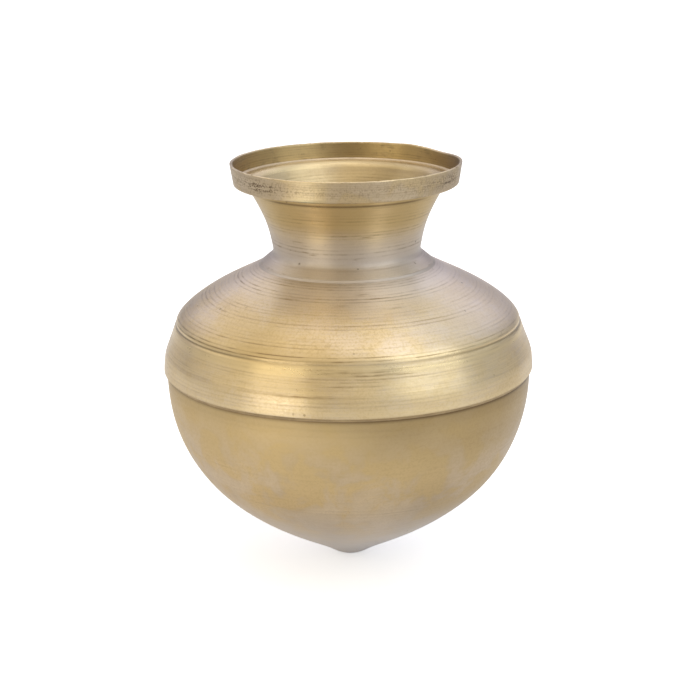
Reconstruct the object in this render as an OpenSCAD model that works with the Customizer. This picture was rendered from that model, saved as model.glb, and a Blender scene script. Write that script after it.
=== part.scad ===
// Small sheet-brass kalash: a pointed bowl, a shoulder whose skirt laps over the
// bowl's mouth, a flared neck and an upright rim collar, joined by three brazes.
// The pot stands upright on the z axis, with the tip of its base at the origin.
// Every outline is drawn as (radius, height) and turned about the z axis.

/* [Bowl] */
// Height of the skirt's lower edge above the tip
bowl_depth = 36.3; // [30:0.1:46]
// Thickness of the bowl's sheet
bowl_wall = 0.6; // [0.4:0.05:1]
// Slope of the cone above the tip, in degrees from level
cone_slope = 33; // [22:0.5:36]
// Length of the curve's handle at the cone
cone_pull = 10.2; // [8:0.1:17]
// Length of the curve's handle at the belly
belly_pull = 23; // [14:0.1:25]
// Height that the bowl's mouth reaches up inside the skirt
lap_h = 6.6; // [3:0.1:7.8]

/* [Tip] */
// Radius of the small round drop under the bowl
tip_r = 3.9; // [2.5:0.1:4.5]
// Radius of the ball that the drop is part of
tip_ball = 6.9; // [5:0.1:8]

/* [Shoulder] */
// Outside radius of the belly, over the skirt
belly_r = 33.05; // [27:0.05:40]
// Thickness of the shoulder's sheet
shoulder_wall = 0.45; // [0.35:0.05:0.8]
// Height of the band, from the skirt's lower edge to the crease
band_h = 8.5; // [8:0.1:11]
// How far the band draws in from the belly to the crease
band_taper = 2.25; // [1:0.05:4]
// Slope of the band where it meets the crease, in degrees from level
band_lean = 72; // [66:1:78]
// Slope of the shoulder where it leaves the crease, in degrees from level
crease_lean = 78; // [70:1:84]
// Length of the curve's handle at the lower edge of the band
band_low_pull = 3.8; // [2:0.1:5]
// Length of the curve's handle at the top of the band
band_top_pull = 5.7; // [2:0.1:6]
// Height of the shoulder, from the crease to the neck's seat
shoulder_h = 10.1; // [8:0.1:14]
// Slope of the seat for the neck, in degrees from level
seat_slope = 26.5; // [15:0.5:35]
// Length of the curve's handle at the crease
crease_pull = 3.6; // [2:0.1:5]
// Length of the curve's handle at the neck's seat
seat_pull = 5.5; // [3:0.1:8]
// Rounding of the skirt's lower edge
skirt_round = 0.12; // [0.05:0.01:0.15]

/* [Neck] */
// Outside radius of the neck at its foot
waist_r = 12.9; // [10:0.1:16]
// Thickness of the neck's sheet
neck_wall = 0.6; // [0.4:0.05:0.9]
// Height from the neck's seat to the ledge inside the rim
neck_h = 15.1; // [12:0.1:20]
// Slope of the neck's wall above its foot, in degrees from level
neck_lean = 80; // [76:1:86]
// Slope of the neck's wall below the rim, in degrees from level
flare_lean = 61; // [54:1:70]
// Length of the curve's handle above the foot
waist_pull = 4.2; // [2:0.1:6]
// Length of the curve's handle below the rim
flare_pull = 6; // [3:0.1:7]
// Length of each side of the rounding at the neck's foot
foot_round = 1; // [0.6:0.1:1.4]
// Width of the foot flange that lies on the shoulder
foot_lap = 1.4; // [1:0.1:2.5]
// Thickness that the foot flange is filed down to at its edge
foot_edge = 0.15; // [0.1:0.01:0.3]

/* [Rim] */
// Outside radius of the corner where the neck turns out under the ledge
mouth_r = 17.5; // [16:0.1:22]
// Length of each side of the rounding at that corner
lip_round = 0.7; // [0.4:0.1:1]
// Width of the ledge, from that corner to the inside of the collar
ledge_w = 1.75; // [1.5:0.05:3]
// Height of the collar above the ledge
collar_rise = 3.2; // [2:0.05:6]
// How far the collar leans out from its foot to its top
collar_lean = 0.6; // [0:0.05:1.2]
// Thickness of the collar's sheet
collar_wall = 0.55; // [0.4:0.05:0.9]
// Rounding of the collar's edges
collar_round = 0.16; // [0.05:0.01:0.19]

/* [Brazes] */
// Gap between two sheets, filled with braze
braze_gap = 0.05; // [0.03:0.01:0.1]
// Height of the bead under the skirt's edge
belly_bead = 0.5; // [0.2:0.05:1]
// Width of the bead round the neck's foot
foot_bead = 0.45; // [0.2:0.05:0.8]
// Width of the bead beside the ledge, and its height up the collar
rim_bead = 0.3; // [0.15:0.05:0.5]

/* [Hidden] */
$fn = 120;
// Steps along a long curve, a short one and a rounded edge
long_steps = 28;
short_steps = 10;
edge_steps = 4;

// Heights of the places where the sheets change, from the tip up
crease_z = bowl_depth + band_h;
seat_z = crease_z + shoulder_h;
ledge_z = seat_z + neck_h;
collar_z = ledge_z - neck_wall;
bevel_z = ledge_z - neck_wall / 2;
rim_z = ledge_z + collar_rise;

// Radii that follow from the sheets and the gap between them
skirt_in_r = belly_r - shoulder_wall;
bowl_r = skirt_in_r - braze_gap;
crease_r = belly_r - band_taper;
hole_r = waist_r + foot_round * cos(seat_slope);
foot_r = hole_r + foot_lap;
seat_r = foot_r + foot_bead;
collar_r = mouth_r + ledge_w;

// The unit step at an angle from level, and the one to its left
function way(angle) = [cos(angle), sin(angle)];
function left(step) = [-step[1], step[0]];

// The point at share t along a cubic curve, and the direction of travel there
function point(c, t) = (1 - t)^3 * c[0] + 3 * (1 - t)^2 * t * c[1]
    + 3 * (1 - t) * t^2 * c[2] + t^3 * c[3];
function travel(c, t) =
    let (d = (1 - t)^2 * (c[1] - c[0]) + 2 * (1 - t) * t * (c[2] - c[1]) + t^2 * (c[3] - c[2]))
    d / norm(d);

// Points along a curve from share a to share b, set off to its left by a distance
function along(c, off, steps, a = 0, b = 1) = [
    for (i = [0:steps])
        let (t = a + (b - a) * i / steps)
        point(c, t) + off * left(travel(c, t))
];

// The curve that leaves one point and reaches another at given angles and pulls
function curve(start, start_angle, start_pull, end, end_angle, end_pull) = [
    start,
    start + start_pull * way(start_angle),
    end - end_pull * way(end_angle),
    end
];

// The curve that rounds a corner reached at one angle and left at another
function turn(corner, angle_in, angle_out, length) = curve(
    corner - length * way(angle_in), angle_in, 0.55 * length,
    corner + length * way(angle_out), angle_out, 0.55 * length
);

// The share of a rising curve at which it reaches a height, found by halving
function share_at(c, z, a = 0, b = 1, tries = 24) =
    let (m = (a + b) / 2)
    tries == 0 ? m
    : point(c, m)[1] < z ? share_at(c, z, m, b, tries - 1)
    : share_at(c, z, a, m, tries - 1);

function reversed(list) = [for (i = [len(list) - 1:-1:0]) list[i]];

// Tip and bowl: an arc of the ball, then one curve to the belly
tip_angle = asin(tip_r / tip_ball);
function tip(off) = [
    for (i = [0:short_steps])
        let (a = tip_angle * i / short_steps)
        [(tip_ball - off) * sin(a), tip_ball - (tip_ball - off) * cos(a)]
];
bowl_curve = curve(
    [tip_r, tip_ball * (1 - cos(tip_angle))], cone_slope, cone_pull,
    [bowl_r, bowl_depth - belly_bead], 90, belly_pull
);

// Band and shoulder: two curves that meet at the crease
band_curve = curve(
    [belly_r, bowl_depth + skirt_round], 90, band_low_pull,
    [crease_r, crease_z], 180 - band_lean, band_top_pull
);
shoulder_curve = curve(
    [crease_r, crease_z], 180 - crease_lean, crease_pull,
    [seat_r, seat_z], 180 - seat_slope, seat_pull
);

// The lapped part of the band, set in by a distance, from the skirt's edge up
lap_end = share_at(band_curve, bowl_depth + lap_h);
function lap(off) = concat(
    [[belly_r - off, bowl_depth]],
    along(band_curve, off, short_steps, 0, lap_end)
);

// A point of the cone that the neck sits on, raised square to it by a distance
function seat(r, raise) =
    [r, seat_z + (seat_r - r) * tan(seat_slope)] + raise * way(90 - seat_slope);

// Neck: a foot flange on the seat, a rounded corner, the flare and the turned-out lip
foot_corner = [waist_r, seat(waist_r, 0)[1] + (braze_gap + neck_wall) / cos(seat_slope)];
foot_turn = turn(foot_corner, 180 - seat_slope, neck_lean, foot_round);
lip_turn = turn([mouth_r, collar_z], flare_lean, 0, lip_round);
neck_curve = curve(
    foot_turn[3], neck_lean, waist_pull,
    lip_turn[0], flare_lean, flare_pull
);
neck_inside = along(neck_curve, neck_wall, long_steps);
foot_inside_pull = 0.4 * norm(neck_inside[0] - seat(hole_r, braze_gap));
foot_inside = curve(
    seat(hole_r, braze_gap), 180 - seat_slope, foot_inside_pull,
    neck_inside[0], neck_lean, foot_inside_pull
);

// Radius of the collar's inside at a height
function collar_in(z) = collar_r + collar_lean * (z - collar_z) / (rim_z - collar_z);

// The bevel along the lip's upper edge, which holds the bead clear of the ledge
lip_bevel = [
    [collar_in(ledge_z) - braze_gap - rim_bead, ledge_z],
    [collar_in(bevel_z) - braze_gap, bevel_z]
];

// A shape turned about the z axis, from its outline
module turned(outline) {
    rotate_extrude() polygon(outline);
}

// Lower shell, with the drop at its tip and a mouth that stands inside the skirt
module bowl() {
    outside = concat(
        tip(0),
        along(bowl_curve, 0, long_steps),
        lap(shoulder_wall + braze_gap)
    );
    inside = concat(
        tip(bowl_wall),
        along(bowl_curve, bowl_wall, long_steps),
        lap(shoulder_wall + braze_gap + bowl_wall)
    );
    color([0.68, 0.60, 0.43]) turned(concat(outside, reversed(inside)));
}

// Upper shell, from the skirt over the bowl's mouth to the hole under the neck
module shoulder() {
    edge = turn([belly_r, bowl_depth], 0, 90, skirt_round);
    outside = concat(
        along(edge, 0, edge_steps),
        along(band_curve, 0, short_steps, 0, lap_end),
        along(band_curve, 0, edge_steps, lap_end, 1),
        along(shoulder_curve, 0, long_steps),
        [seat(hole_r, 0)]
    );
    inside = concat(
        lap(shoulder_wall),
        along(band_curve, shoulder_wall, edge_steps, lap_end, 1),
        along(shoulder_curve, shoulder_wall, long_steps),
        [seat(hole_r, -shoulder_wall)]
    );
    color([0.80, 0.71, 0.52]) turned(concat(outside, reversed(inside)));
}

// Flared tube with a foot flange below and a flat lip above
module neck() {
    outside = concat(
        [seat(foot_r, braze_gap + foot_edge)],
        along(foot_turn, 0, short_steps),
        along(neck_curve, 0, long_steps),
        along(lip_turn, 0, short_steps),
        [[collar_in(collar_z) - braze_gap, collar_z]]
    );
    inside = concat(
        [seat(foot_r, braze_gap)],
        along(foot_inside, 0, short_steps),
        neck_inside,
        along(lip_turn, neck_wall, short_steps),
        lip_bevel
    );
    color([0.76, 0.66, 0.46]) turned(concat(outside, reversed(inside)));
}

// Upright band round the mouth, with rounded edges
module rim_collar() {
    lean = atan2(rim_z - collar_z, collar_lean);
    outside = [
        for (z = [collar_z, rim_z]) [collar_in(z) + collar_wall, z]
    ];
    color([0.82, 0.74, 0.54]) turned(concat(
        [[collar_in(collar_z), collar_z]],
        along(turn(outside[0], 0, lean, collar_round), 0, edge_steps),
        along(turn(outside[1], lean, 180, collar_round), 0, edge_steps),
        along(turn([collar_in(rim_z), rim_z], 180, lean + 180, collar_round), 0, edge_steps),
        [[collar_in(ledge_z + rim_bead), ledge_z + rim_bead]]
    ));
}

// Braze in the lap between bowl and skirt, with a bead under the skirt's edge
module belly_braze() {
    color([0.55, 0.45, 0.26]) turned(concat(
        [
            [bowl_r, bowl_depth - belly_bead],
            [skirt_in_r + shoulder_wall / 2, bowl_depth]
        ],
        lap(shoulder_wall),
        reversed(lap(shoulder_wall + braze_gap))
    ));
}

// Braze under the neck's foot, with a bead round the flange's edge
module neck_braze() {
    color([0.55, 0.45, 0.26]) turned([
        seat(hole_r, 0),
        seat(seat_r, 0),
        seat(foot_r, braze_gap + foot_edge),
        seat(foot_r, braze_gap),
        seat(hole_r, braze_gap)
    ]);
}

// Braze between the neck's lip and the collar, with a bead in the corner
module rim_braze() {
    color([0.55, 0.45, 0.26]) turned([
        [collar_in(collar_z) - braze_gap, collar_z],
        [collar_in(collar_z), collar_z],
        [collar_in(ledge_z + rim_bead), ledge_z + rim_bead],
        lip_bevel[0],
        lip_bevel[1]
    ]);
}

bowl();
shoulder();
neck();
rim_collar();
belly_braze();
neck_braze();
rim_braze();
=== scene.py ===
"""Looks of a small sheet-brass kalash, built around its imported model.

Every piece is an outline of (radius, height) turned about the z axis, with the
relief that spinning, brazing and handling leave on it. Lengths are in metres.
"""

import math
from types import SimpleNamespace

import bmesh
import bpy
import numpy as np
from bpy.props import FloatProperty, FloatVectorProperty, IntProperty, PointerProperty
from mathutils import Matrix, Vector


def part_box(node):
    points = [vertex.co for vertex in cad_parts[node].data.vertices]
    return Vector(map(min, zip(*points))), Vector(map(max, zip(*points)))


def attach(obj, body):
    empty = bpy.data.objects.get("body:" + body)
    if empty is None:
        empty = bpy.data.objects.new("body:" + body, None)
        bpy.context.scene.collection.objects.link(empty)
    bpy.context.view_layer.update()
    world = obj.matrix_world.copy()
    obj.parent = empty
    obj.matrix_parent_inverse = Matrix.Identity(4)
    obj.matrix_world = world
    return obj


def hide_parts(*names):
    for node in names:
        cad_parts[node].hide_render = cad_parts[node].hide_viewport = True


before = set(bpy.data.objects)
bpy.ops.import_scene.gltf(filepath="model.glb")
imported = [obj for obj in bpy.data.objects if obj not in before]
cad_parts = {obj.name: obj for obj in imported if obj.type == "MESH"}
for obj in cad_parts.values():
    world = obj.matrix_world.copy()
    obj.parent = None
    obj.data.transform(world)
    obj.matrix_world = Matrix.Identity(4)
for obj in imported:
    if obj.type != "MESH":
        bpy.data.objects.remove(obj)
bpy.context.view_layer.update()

bl_info = {
    "name": "Kalash looks",
    "version": (1, 0, 0),
    "blender": (4, 5, 0),
    "location": "View3D > Sidebar > Kalash",
    "description": "Builds the visible surfaces and finishes of a small brass kalash",
    "category": "Object",
}

MAP_NAME = "lathe"
MM = 0.001
FULL_TURN = 2 * math.pi
SAME_POINT = 1e-7  # points nearer to each other than this are one point
CURVE_SAMPLES = 801  # points worked out on a curve before it is spaced out
ROUND_PULL = 0.55  # a rounded corner's handles, as a share of its sides
SPREAD = 2.2  # unit waves less this stay below 0, which keeps relief inside the outline
BUMP_HEIGHT = 4e-6
ACROSS_LINES = 0.25  # quarter turn of the shine, which draws it out across the turning lines
FLOOR_HALF = 3.0
LIGHT_DISTANCE = 0.7
LIGHT_AIM = 0.04  # height on the axis that the lights face


# ---------------------------------------------------------------- sizes


def length(name, text, value_mm):
    """A length property whose default is given in millimetres."""
    return FloatProperty(name=name, description=text, default=value_mm * MM, unit="LENGTH", precision=6)


def slope(name, text, value_deg):
    """An angle property whose default is given in degrees from level."""
    return FloatProperty(
        name=name, description=text, default=math.radians(value_deg), subtype="ANGLE"
    )


def tint(name, text, value):
    """A colour property."""
    return FloatVectorProperty(
        name=name, description=text, default=value, subtype="COLOR", min=0, max=1
    )


class KalashSizes(bpy.types.PropertyGroup):
    """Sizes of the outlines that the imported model's boxes don't give."""

    bowl_wall: length("Bowl sheet", "Thickness of the bowl's sheet", 0.6)
    shoulder_wall: length("Shoulder sheet", "Thickness of the shoulder's sheet", 0.45)
    neck_wall: length("Neck sheet", "Thickness of the neck's sheet", 0.6)
    collar_wall: length("Collar sheet", "Thickness of the collar's sheet", 0.55)
    gap: length("Braze gap", "Gap between two sheets, filled with braze", 0.05)
    tip_r: length("Drop radius", "Radius of the round drop under the bowl", 3.9)
    tip_ball: length("Drop ball", "Radius of the ball that the drop is part of", 6.9)
    cone_slope: slope("Cone slope", "Slope of the cone above the tip", 33)
    cone_pull: length("Cone pull", "Length of the curve's handle at the cone", 10.2)
    belly_pull: length("Belly pull", "Length of the curve's handle at the belly", 23)
    lap_h: length("Lap height", "Height that the bowl's mouth reaches inside the skirt", 6.6)
    skirt_round: length("Skirt rounding", "Rounding of the skirt's lower edge", 0.12)
    band_h: length("Band height", "From the skirt's edge to the crease", 8.5)
    band_taper: length("Band taper", "How far the band draws in to the crease", 2.25)
    band_lean: slope("Band lean", "Slope of the band where it meets the crease", 72)
    crease_lean: slope("Crease lean", "Slope of the shoulder above the crease", 78)
    band_low_pull: length("Band low pull", "Handle at the lower edge of the band", 3.8)
    band_top_pull: length("Band top pull", "Handle at the top of the band", 5.7)
    seat_slope: slope("Seat slope", "Slope of the cone that the neck sits on", 26.5)
    crease_pull: length("Crease pull", "Length of the curve's handle at the crease", 3.6)
    seat_pull: length("Seat pull", "Length of the curve's handle at the neck's seat", 5.5)
    waist_r: length("Waist radius", "Outside radius of the neck at its foot", 12.9)
    neck_lean: slope("Neck lean", "Slope of the neck's wall above its foot", 80)
    flare_lean: slope("Flare lean", "Slope of the neck's wall below the rim", 61)
    waist_pull: length("Waist pull", "Length of the curve's handle above the foot", 4.2)
    flare_pull: length("Flare pull", "Length of the curve's handle below the rim", 6)
    foot_round: length("Foot rounding", "Side of the rounding at the neck's foot", 1)
    foot_lap: length("Foot lap", "Width of the foot flange on the shoulder", 1.4)
    foot_edge: length("Foot edge", "Thickness of the foot flange at its edge", 0.15)
    mouth_r: length("Mouth radius", "Radius of the corner under the ledge", 17.5)
    lip_round: length("Lip rounding", "Side of the rounding at that corner", 0.7)
    ledge_w: length("Ledge width", "From that corner to the inside of the collar", 1.75)
    collar_lean: length("Collar lean", "How far the collar leans out to its top", 0.6)
    edge_round: length("Edge rounding", "Rounding of the sheets' cut edges", 0.16)
    rim_bead: length("Rim bead", "Width of the braze bead beside the ledge", 0.3)
    groove_pitch: length("Groove pitch", "Distance between turning grooves", 0.8)
    groove_depth: length("Groove depth", "Depth of the turning grooves", 0.010)
    crease_depth: length("Crease depth", "Depth of the worked line above the band", 0.14)
    crease_width: length("Crease width", "Half width of that line", 0.32)
    columns: IntProperty(
        name="Columns", description="Steps round the axis", default=240, min=48, max=512
    )


class KalashFinish(bpy.types.PropertyGroup):
    """Colours of the brass, of what lies on it, and of its painted shade, painted highlights and the
    painted reflection at the tip.
    """

    # Also the colour of the painted highlights.
    bright: tint("Bright brass", "Worked and rubbed brass", (0.82, 0.66, 0.385))
    satin: tint("Satin brass", "Turned brass that has dulled a little", (0.68, 0.545, 0.37))
    patina: tint("Patina", "Brown-olive tarnish of the bowl", (0.56, 0.435, 0.27))
    # Also the colour of the painted shade, at six tenths of its strength.
    soil_and_shade: tint("Soil", "Brown tarnish that lies in the turning grooves", (0.34, 0.235, 0.12))
    gold: tint("Golden tarnish", "Golden brown film on sheltered brass", (0.70, 0.52, 0.24))
    # Painted reflection: this greyish bright colour near the bowl's tip stands for the pale floor seen in
    # it.
    tip_reflection: tint("Tip reflection", "Greyish metal where the tip is rubbed", (0.90, 0.86, 0.84))
    pale: tint("Pale film", "Pinkish grey film on the neck's foot and the dome", (0.80, 0.71, 0.61))
    grime: tint("Grime", "Dark oxide in seams, corners and pits", (0.13, 0.085, 0.045))
    verdigris: tint("Verdigris", "Greenish corrosion at the rim's braze", (0.33, 0.36, 0.22))


class KalashStage(bpy.types.PropertyGroup):
    """Camera and studio."""

    distance: length("Camera distance", "From the camera to the point it looks at", 324)
    look_z: length("Look height", "Height on the axis that the camera looks at", 38.7)
    elevation: slope("Elevation", "Angle of the view above the horizon", 16.1)
    roll: slope("Roll", "Turn of the camera about its own axis", -0.7)
    lens: FloatProperty(name="Lens", description="Focal length in millimetres", default=92.57, min=20)
    shift: FloatProperty(name="Shift", description="Sideways shift of the frame", default=0.0019)


def plan(sizes):
    """Every size the outlines need: the properties, and the places worked out from the boxes of
    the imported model's nodes."""
    s = SimpleNamespace(**{name: getattr(sizes, name) for name in KalashSizes.__annotations__})
    low = {name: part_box(name)[0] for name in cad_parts}
    high = {name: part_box(name)[1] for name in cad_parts}
    s.skirt_z = low["shoulder"].z
    s.bead_z = low["belly_braze"].z
    s.lap_z = s.skirt_z + s.lap_h
    s.seat_z = low["neck_braze"].z
    s.ledge_z = high["neck"].z
    s.collar_z = low["rim_collar"].z
    s.bevel_z = (s.collar_z + s.ledge_z) / 2
    s.rim_z = high["rim_collar"].z
    s.belly_r = high["shoulder"].x
    s.seat_r = high["neck_braze"].x
    s.bowl_r = s.belly_r - s.shoulder_wall - s.gap
    s.crease = np.array([s.belly_r - s.band_taper, s.skirt_z + s.band_h])
    s.hole_r = s.waist_r + s.foot_round * math.cos(s.seat_slope)
    s.foot_r = s.hole_r + s.foot_lap
    s.collar_r = s.mouth_r + s.ledge_w
    return s


# ---------------------------------------------------------------- outlines


def way(angle):
    """Unit step at an angle from level."""
    return np.array([math.cos(angle), math.sin(angle)])


def handles(start, start_angle, start_pull, end, end_angle, end_pull):
    """Control points of the cubic that leaves start and reaches end at given angles and pulls."""
    start, end = np.asarray(start, float), np.asarray(end, float)
    return np.array(
        [start, start + start_pull * way(start_angle), end - end_pull * way(end_angle), end]
    )


def corner(point, angle_in, angle_out, side):
    """Control points of the cubic that rounds a corner over a side's length each way."""
    point = np.asarray(point, float)
    return handles(
        point - side * way(angle_in), angle_in, ROUND_PULL * side,
        point + side * way(angle_out), angle_out, ROUND_PULL * side,
    )


def cubic(curve, t):
    """Points of a cubic at a column of parameters from 0 to 1."""
    return (
        (1 - t) ** 3 * curve[0] + 3 * (1 - t) ** 2 * t * curve[1]
        + 3 * (1 - t) * t**2 * curve[2] + t**3 * curve[3]
    )


def sweep(curve, step, off=0.0, low=None, high=None):
    """Points about a step apart along a cubic, each set off to its left by a distance.

    With low or high, only the part of the cubic between those heights.
    """
    t = np.linspace(0, 1, CURVE_SAMPLES)
    z = cubic(curve, t[:, None])[:, 1]
    first = 0.0 if low is None else float(np.interp(low, z, t))
    last = 1.0 if high is None else float(np.interp(high, z, t))
    t = np.linspace(first, last, CURVE_SAMPLES)[:, None]
    ahead = (
        (1 - t) ** 2 * (curve[1] - curve[0]) + 2 * (1 - t) * t * (curve[2] - curve[1])
        + t**2 * (curve[3] - curve[2])
    )
    ahead /= np.linalg.norm(ahead, axis=1)[:, None]
    return spaced(cubic(curve, t) + off * np.column_stack([-ahead[:, 1], ahead[:, 0]]), step)


def spaced(points, step):
    """The same line with its points about a step apart, its two ends kept."""
    arc = arc_lengths(points)
    count = max(1, round(arc[-1] / step))
    at = np.linspace(0, arc[-1], count + 1)
    return np.column_stack([np.interp(at, arc, points[:, k]) for k in (0, 1)])


def loop(*parts):
    """One outline from several, without the points they share, and for each of its points the
    number of the part that it comes from."""
    points, owner = [], []
    for number, part in enumerate(parts):
        for point in np.atleast_2d(part):
            if not points or np.linalg.norm(point - points[-1]) > SAME_POINT:
                points.append(point)
                owner.append(number)
    if np.linalg.norm(points[0] - points[-1]) < SAME_POINT:
        points.pop()
        owner.pop()
    return np.array(points), np.array(owner)


def arc_lengths(outline):
    """Distance along an outline of each of its points from the first."""
    return np.concatenate([[0], np.cumsum(np.linalg.norm(np.diff(outline, axis=0), axis=1))])


def outward(outline, closed):
    """Unit normals of an outline, to the right of travel, from the steps before and after a point."""
    ahead = np.roll(outline, -1, axis=0) - outline
    ahead /= np.maximum(np.linalg.norm(ahead, axis=1), 1e-12)[:, None]
    behind = np.roll(ahead, 1, axis=0)
    if not closed:
        behind[0], ahead[-1] = ahead[0], behind[-1]
    along = ahead + behind
    along /= np.maximum(np.linalg.norm(along, axis=1), 1e-12)[:, None]
    return np.column_stack([along[:, 1], -along[:, 0]])


def step_between(value, low, high):
    """Smooth rise from 0 at low to 1 at high."""
    t = np.clip((value - low) / (high - low), 0, 1)
    return t * t * (3 - 2 * t)


def hump(value, middle, width):
    """Bell of height 1 at middle, falling off over a width."""
    return np.exp(-(((value - middle) / width) ** 2))


def waves(arc, angle, seed, turns, span):
    """Smooth uneven field, unit spread: a sum of cosines with seeded phases, each with a whole
    number of turns round the axis up to `turns`, and a wavelength along the arc from `span` up."""
    count = 18
    random = np.random.default_rng(seed)
    field = np.zeros((len(arc), len(angle)))
    for _ in range(count):
        round_axis = random.integers(0, turns + 1) * random.choice([-1, 1])
        along_arc = FULL_TURN / span * random.uniform(0.15, 1)
        phase = random.uniform(0, FULL_TURN)
        field += np.cos(round_axis * angle[None, :] + along_arc * arc[:, None] + phase)
    return field * math.sqrt(2 / count)


def ring_wave(angle, seed, low, high):
    """Smooth uneven closed line round the axis, as one row of unit spread: a sum of cosines with
    from low to high waves a turn and seeded phases and weights."""
    random = np.random.default_rng(seed)
    turns = np.arange(low, high + 1)
    phase = random.uniform(0, FULL_TURN, len(turns))
    weight = random.uniform(0.5, 1, len(turns))
    line = (weight[:, None] * np.cos(turns[:, None] * angle + phase[:, None])).sum(0)
    return line[None, :] / math.sqrt((weight**2).sum() / 2)


def grooves(arc, angle, pitch, seed, sharp=2.2):
    """Turning grooves, from 0 at a crest to about 1 at the floor: cosines of three near pitches
    that beat with each other, raised to a power so the floors are narrow, with a slow wobble and
    a patchy strength."""
    wobble = 0.10 * pitch * waves(arc, angle, seed, 3, 12 * pitch)
    place = arc[:, None] + wobble + 0.2 * pitch * waves(arc, angle[:1], seed + 1, 0, 9 * pitch)
    line = (
        np.cos(FULL_TURN * place / pitch)
        + 0.9 * np.cos(FULL_TURN * place / (0.81 * pitch) + 1.3)
        + 0.6 * np.cos(FULL_TURN * place / (1.14 * pitch) + 4.0)
    ) / 2.1
    strength = np.clip(0.8 + 0.3 * waves(arc, angle, seed + 2, 3, 5 * pitch), 0.2, 1.4)
    return np.clip(line + 0.25, 0, 1.15) ** sharp * strength


# ---------------------------------------------------------------- meshes


def ring(columns):
    """Angles of equal steps round the axis, from the back round to the left."""
    return math.pi / 2 + FULL_TURN * np.arange(columns) / columns


def facing(angle):
    """Degrees from the front of the pot, positive to the right, as one row."""
    return np.degrees(np.arctan2(np.cos(angle), -np.sin(angle)))[None, :]


def on_right(from_front, low, high):
    """Rises from 0 to 1 between two bearings right of the front, and is 0 again at the back."""
    return step_between(from_front, low, high) * step_between(from_front, 176, 130)


def handled(r, z, angle, s):
    """The small faults of a pot made by hand, for all pieces alike: the body is a little out of
    round, and the collar's top dips and is pressed in at the back on the right, beside a bump."""
    oval = 0.0010 * (1 - np.cos(2 * angle - 0.9)) / 2
    three_sided = 0.0006 * (1 - np.cos(3 * angle + 0.4)) / 2
    turn = np.degrees((angle + math.pi) % FULL_TURN - math.pi)
    dent = hump(turn, 30, 15)
    bump = hump(turn, 54, 9)
    rise = step_between(z, s.ledge_z, s.rim_z)
    pressed_in = 0.30 * MM * dent * rise
    dip = (0.07 + 0.27 * dent - 0.07 * bump) * MM * rise
    return r * (1 - oval - three_sided) - pressed_in, z - dip


def turned(name, outline, s, columns, relief, paint, drop=0.0):
    """Surface of revolution of an outline about the z axis, closed at its own ends.

    Point (i, j) lies at the outline's point i, moved along its normal by relief[i, j] and up by
    drop[i, j], and turned by j of `columns` equal steps. Where the outline starts and ends on the
    axis, those points are poles; otherwise the last row joins the first. The arc length in mm and
    each field of paint become attributes of the points.
    """
    closed = outline[0, 0] > SAME_POINT
    arc, angle = arc_lengths(outline), ring(columns)
    normal = outward(outline, closed)
    r = outline[:, :1] + relief * normal[:, :1]
    z = outline[:, 1:] + relief * normal[:, 1:] + drop
    r, z = handled(r, z, angle[None, :], s)
    points = np.stack([r * np.cos(angle), r * np.sin(angle), z], axis=-1).reshape(-1, 3)
    rows = np.arange(len(outline))
    below, above = (rows, np.roll(rows, -1)) if closed else (rows[1:-2], rows[2:-1])
    here = np.arange(columns)
    after = np.roll(here, -1)
    quads = np.stack([
        below[:, None] * columns + here, below[:, None] * columns + after,
        above[:, None] * columns + after, above[:, None] * columns + here,
    ], axis=-1).reshape(-1, 4)
    corners, counts = [quads.ravel()], [np.full(len(quads), 4)]
    if not closed:
        top = (len(outline) - 2) * columns
        first = np.column_stack([np.zeros(columns, int), columns + after, columns + here])
        last = np.column_stack([top + here, top + after, np.full(columns, top + columns)])
        corners += [first.ravel(), last.ravel()]
        counts += [np.full(columns, 3), np.full(columns, 3)]
    mesh = made_mesh(name, points, np.concatenate(corners), np.concatenate(counts), columns, arc)
    for key, values in {"arc": arc[:, None] / MM, **paint}.items():
        field = np.broadcast_to(values, (len(outline), columns)).astype(np.float32)
        mesh.attributes.new(key, "FLOAT", "POINT").data.foreach_set("value", field.ravel())
    return finished(name, mesh)


def made_mesh(name, points, corners, counts, columns, arc):
    """Mesh from points, the corners of its faces in a row, and each face's number of corners, with
    a map of the share of a turn and the share of the arc."""
    mesh = bpy.data.meshes.new(name)
    mesh.vertices.add(len(points))
    mesh.vertices.foreach_set("co", points.astype(np.float32).ravel())
    mesh.loops.add(len(corners))
    mesh.loops.foreach_set("vertex_index", corners.astype(np.int32))
    mesh.polygons.add(len(counts))
    starts = np.concatenate([[0], np.cumsum(counts)[:-1]])
    mesh.polygons.foreach_set("loop_start", starts.astype(np.int32))
    mesh.polygons.foreach_set("use_smooth", np.ones(len(counts), bool))
    mesh.update(calc_edges=True)
    column, row = corners % columns, corners // columns
    face = np.repeat(np.arange(len(counts)), counts)
    wraps = np.zeros(len(counts), bool)
    wraps[face[column == columns - 1]] = True
    u = np.where(wraps[face] & (column == 0), 1.0, column / columns)
    v = arc[row] / arc[-1]
    layer = mesh.uv_layers.new(name=MAP_NAME)
    layer.uv.foreach_set("vector", np.column_stack([u, v]).astype(np.float32).ravel())
    mesh.validate()
    return mesh


def finished(name, mesh):
    """Object of a mesh in the scene, with loose points left by a pole removed."""
    work = bmesh.new()
    work.from_mesh(mesh)
    bmesh.ops.delete(work, geom=[v for v in work.verts if not v.link_faces], context="VERTS")
    work.to_mesh(mesh)
    work.free()
    piece = bpy.data.objects.new(name, mesh)
    bpy.context.scene.collection.objects.link(piece)
    return piece


# ---------------------------------------------------------------- pieces


def place(piece, node, slot, material):
    """Gives a piece its material and its body, and hides the imported node that it stands for. The slot is
    not used.
    """
    piece.data.materials.append(material)
    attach(piece, "root")
    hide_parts(node)


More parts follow.
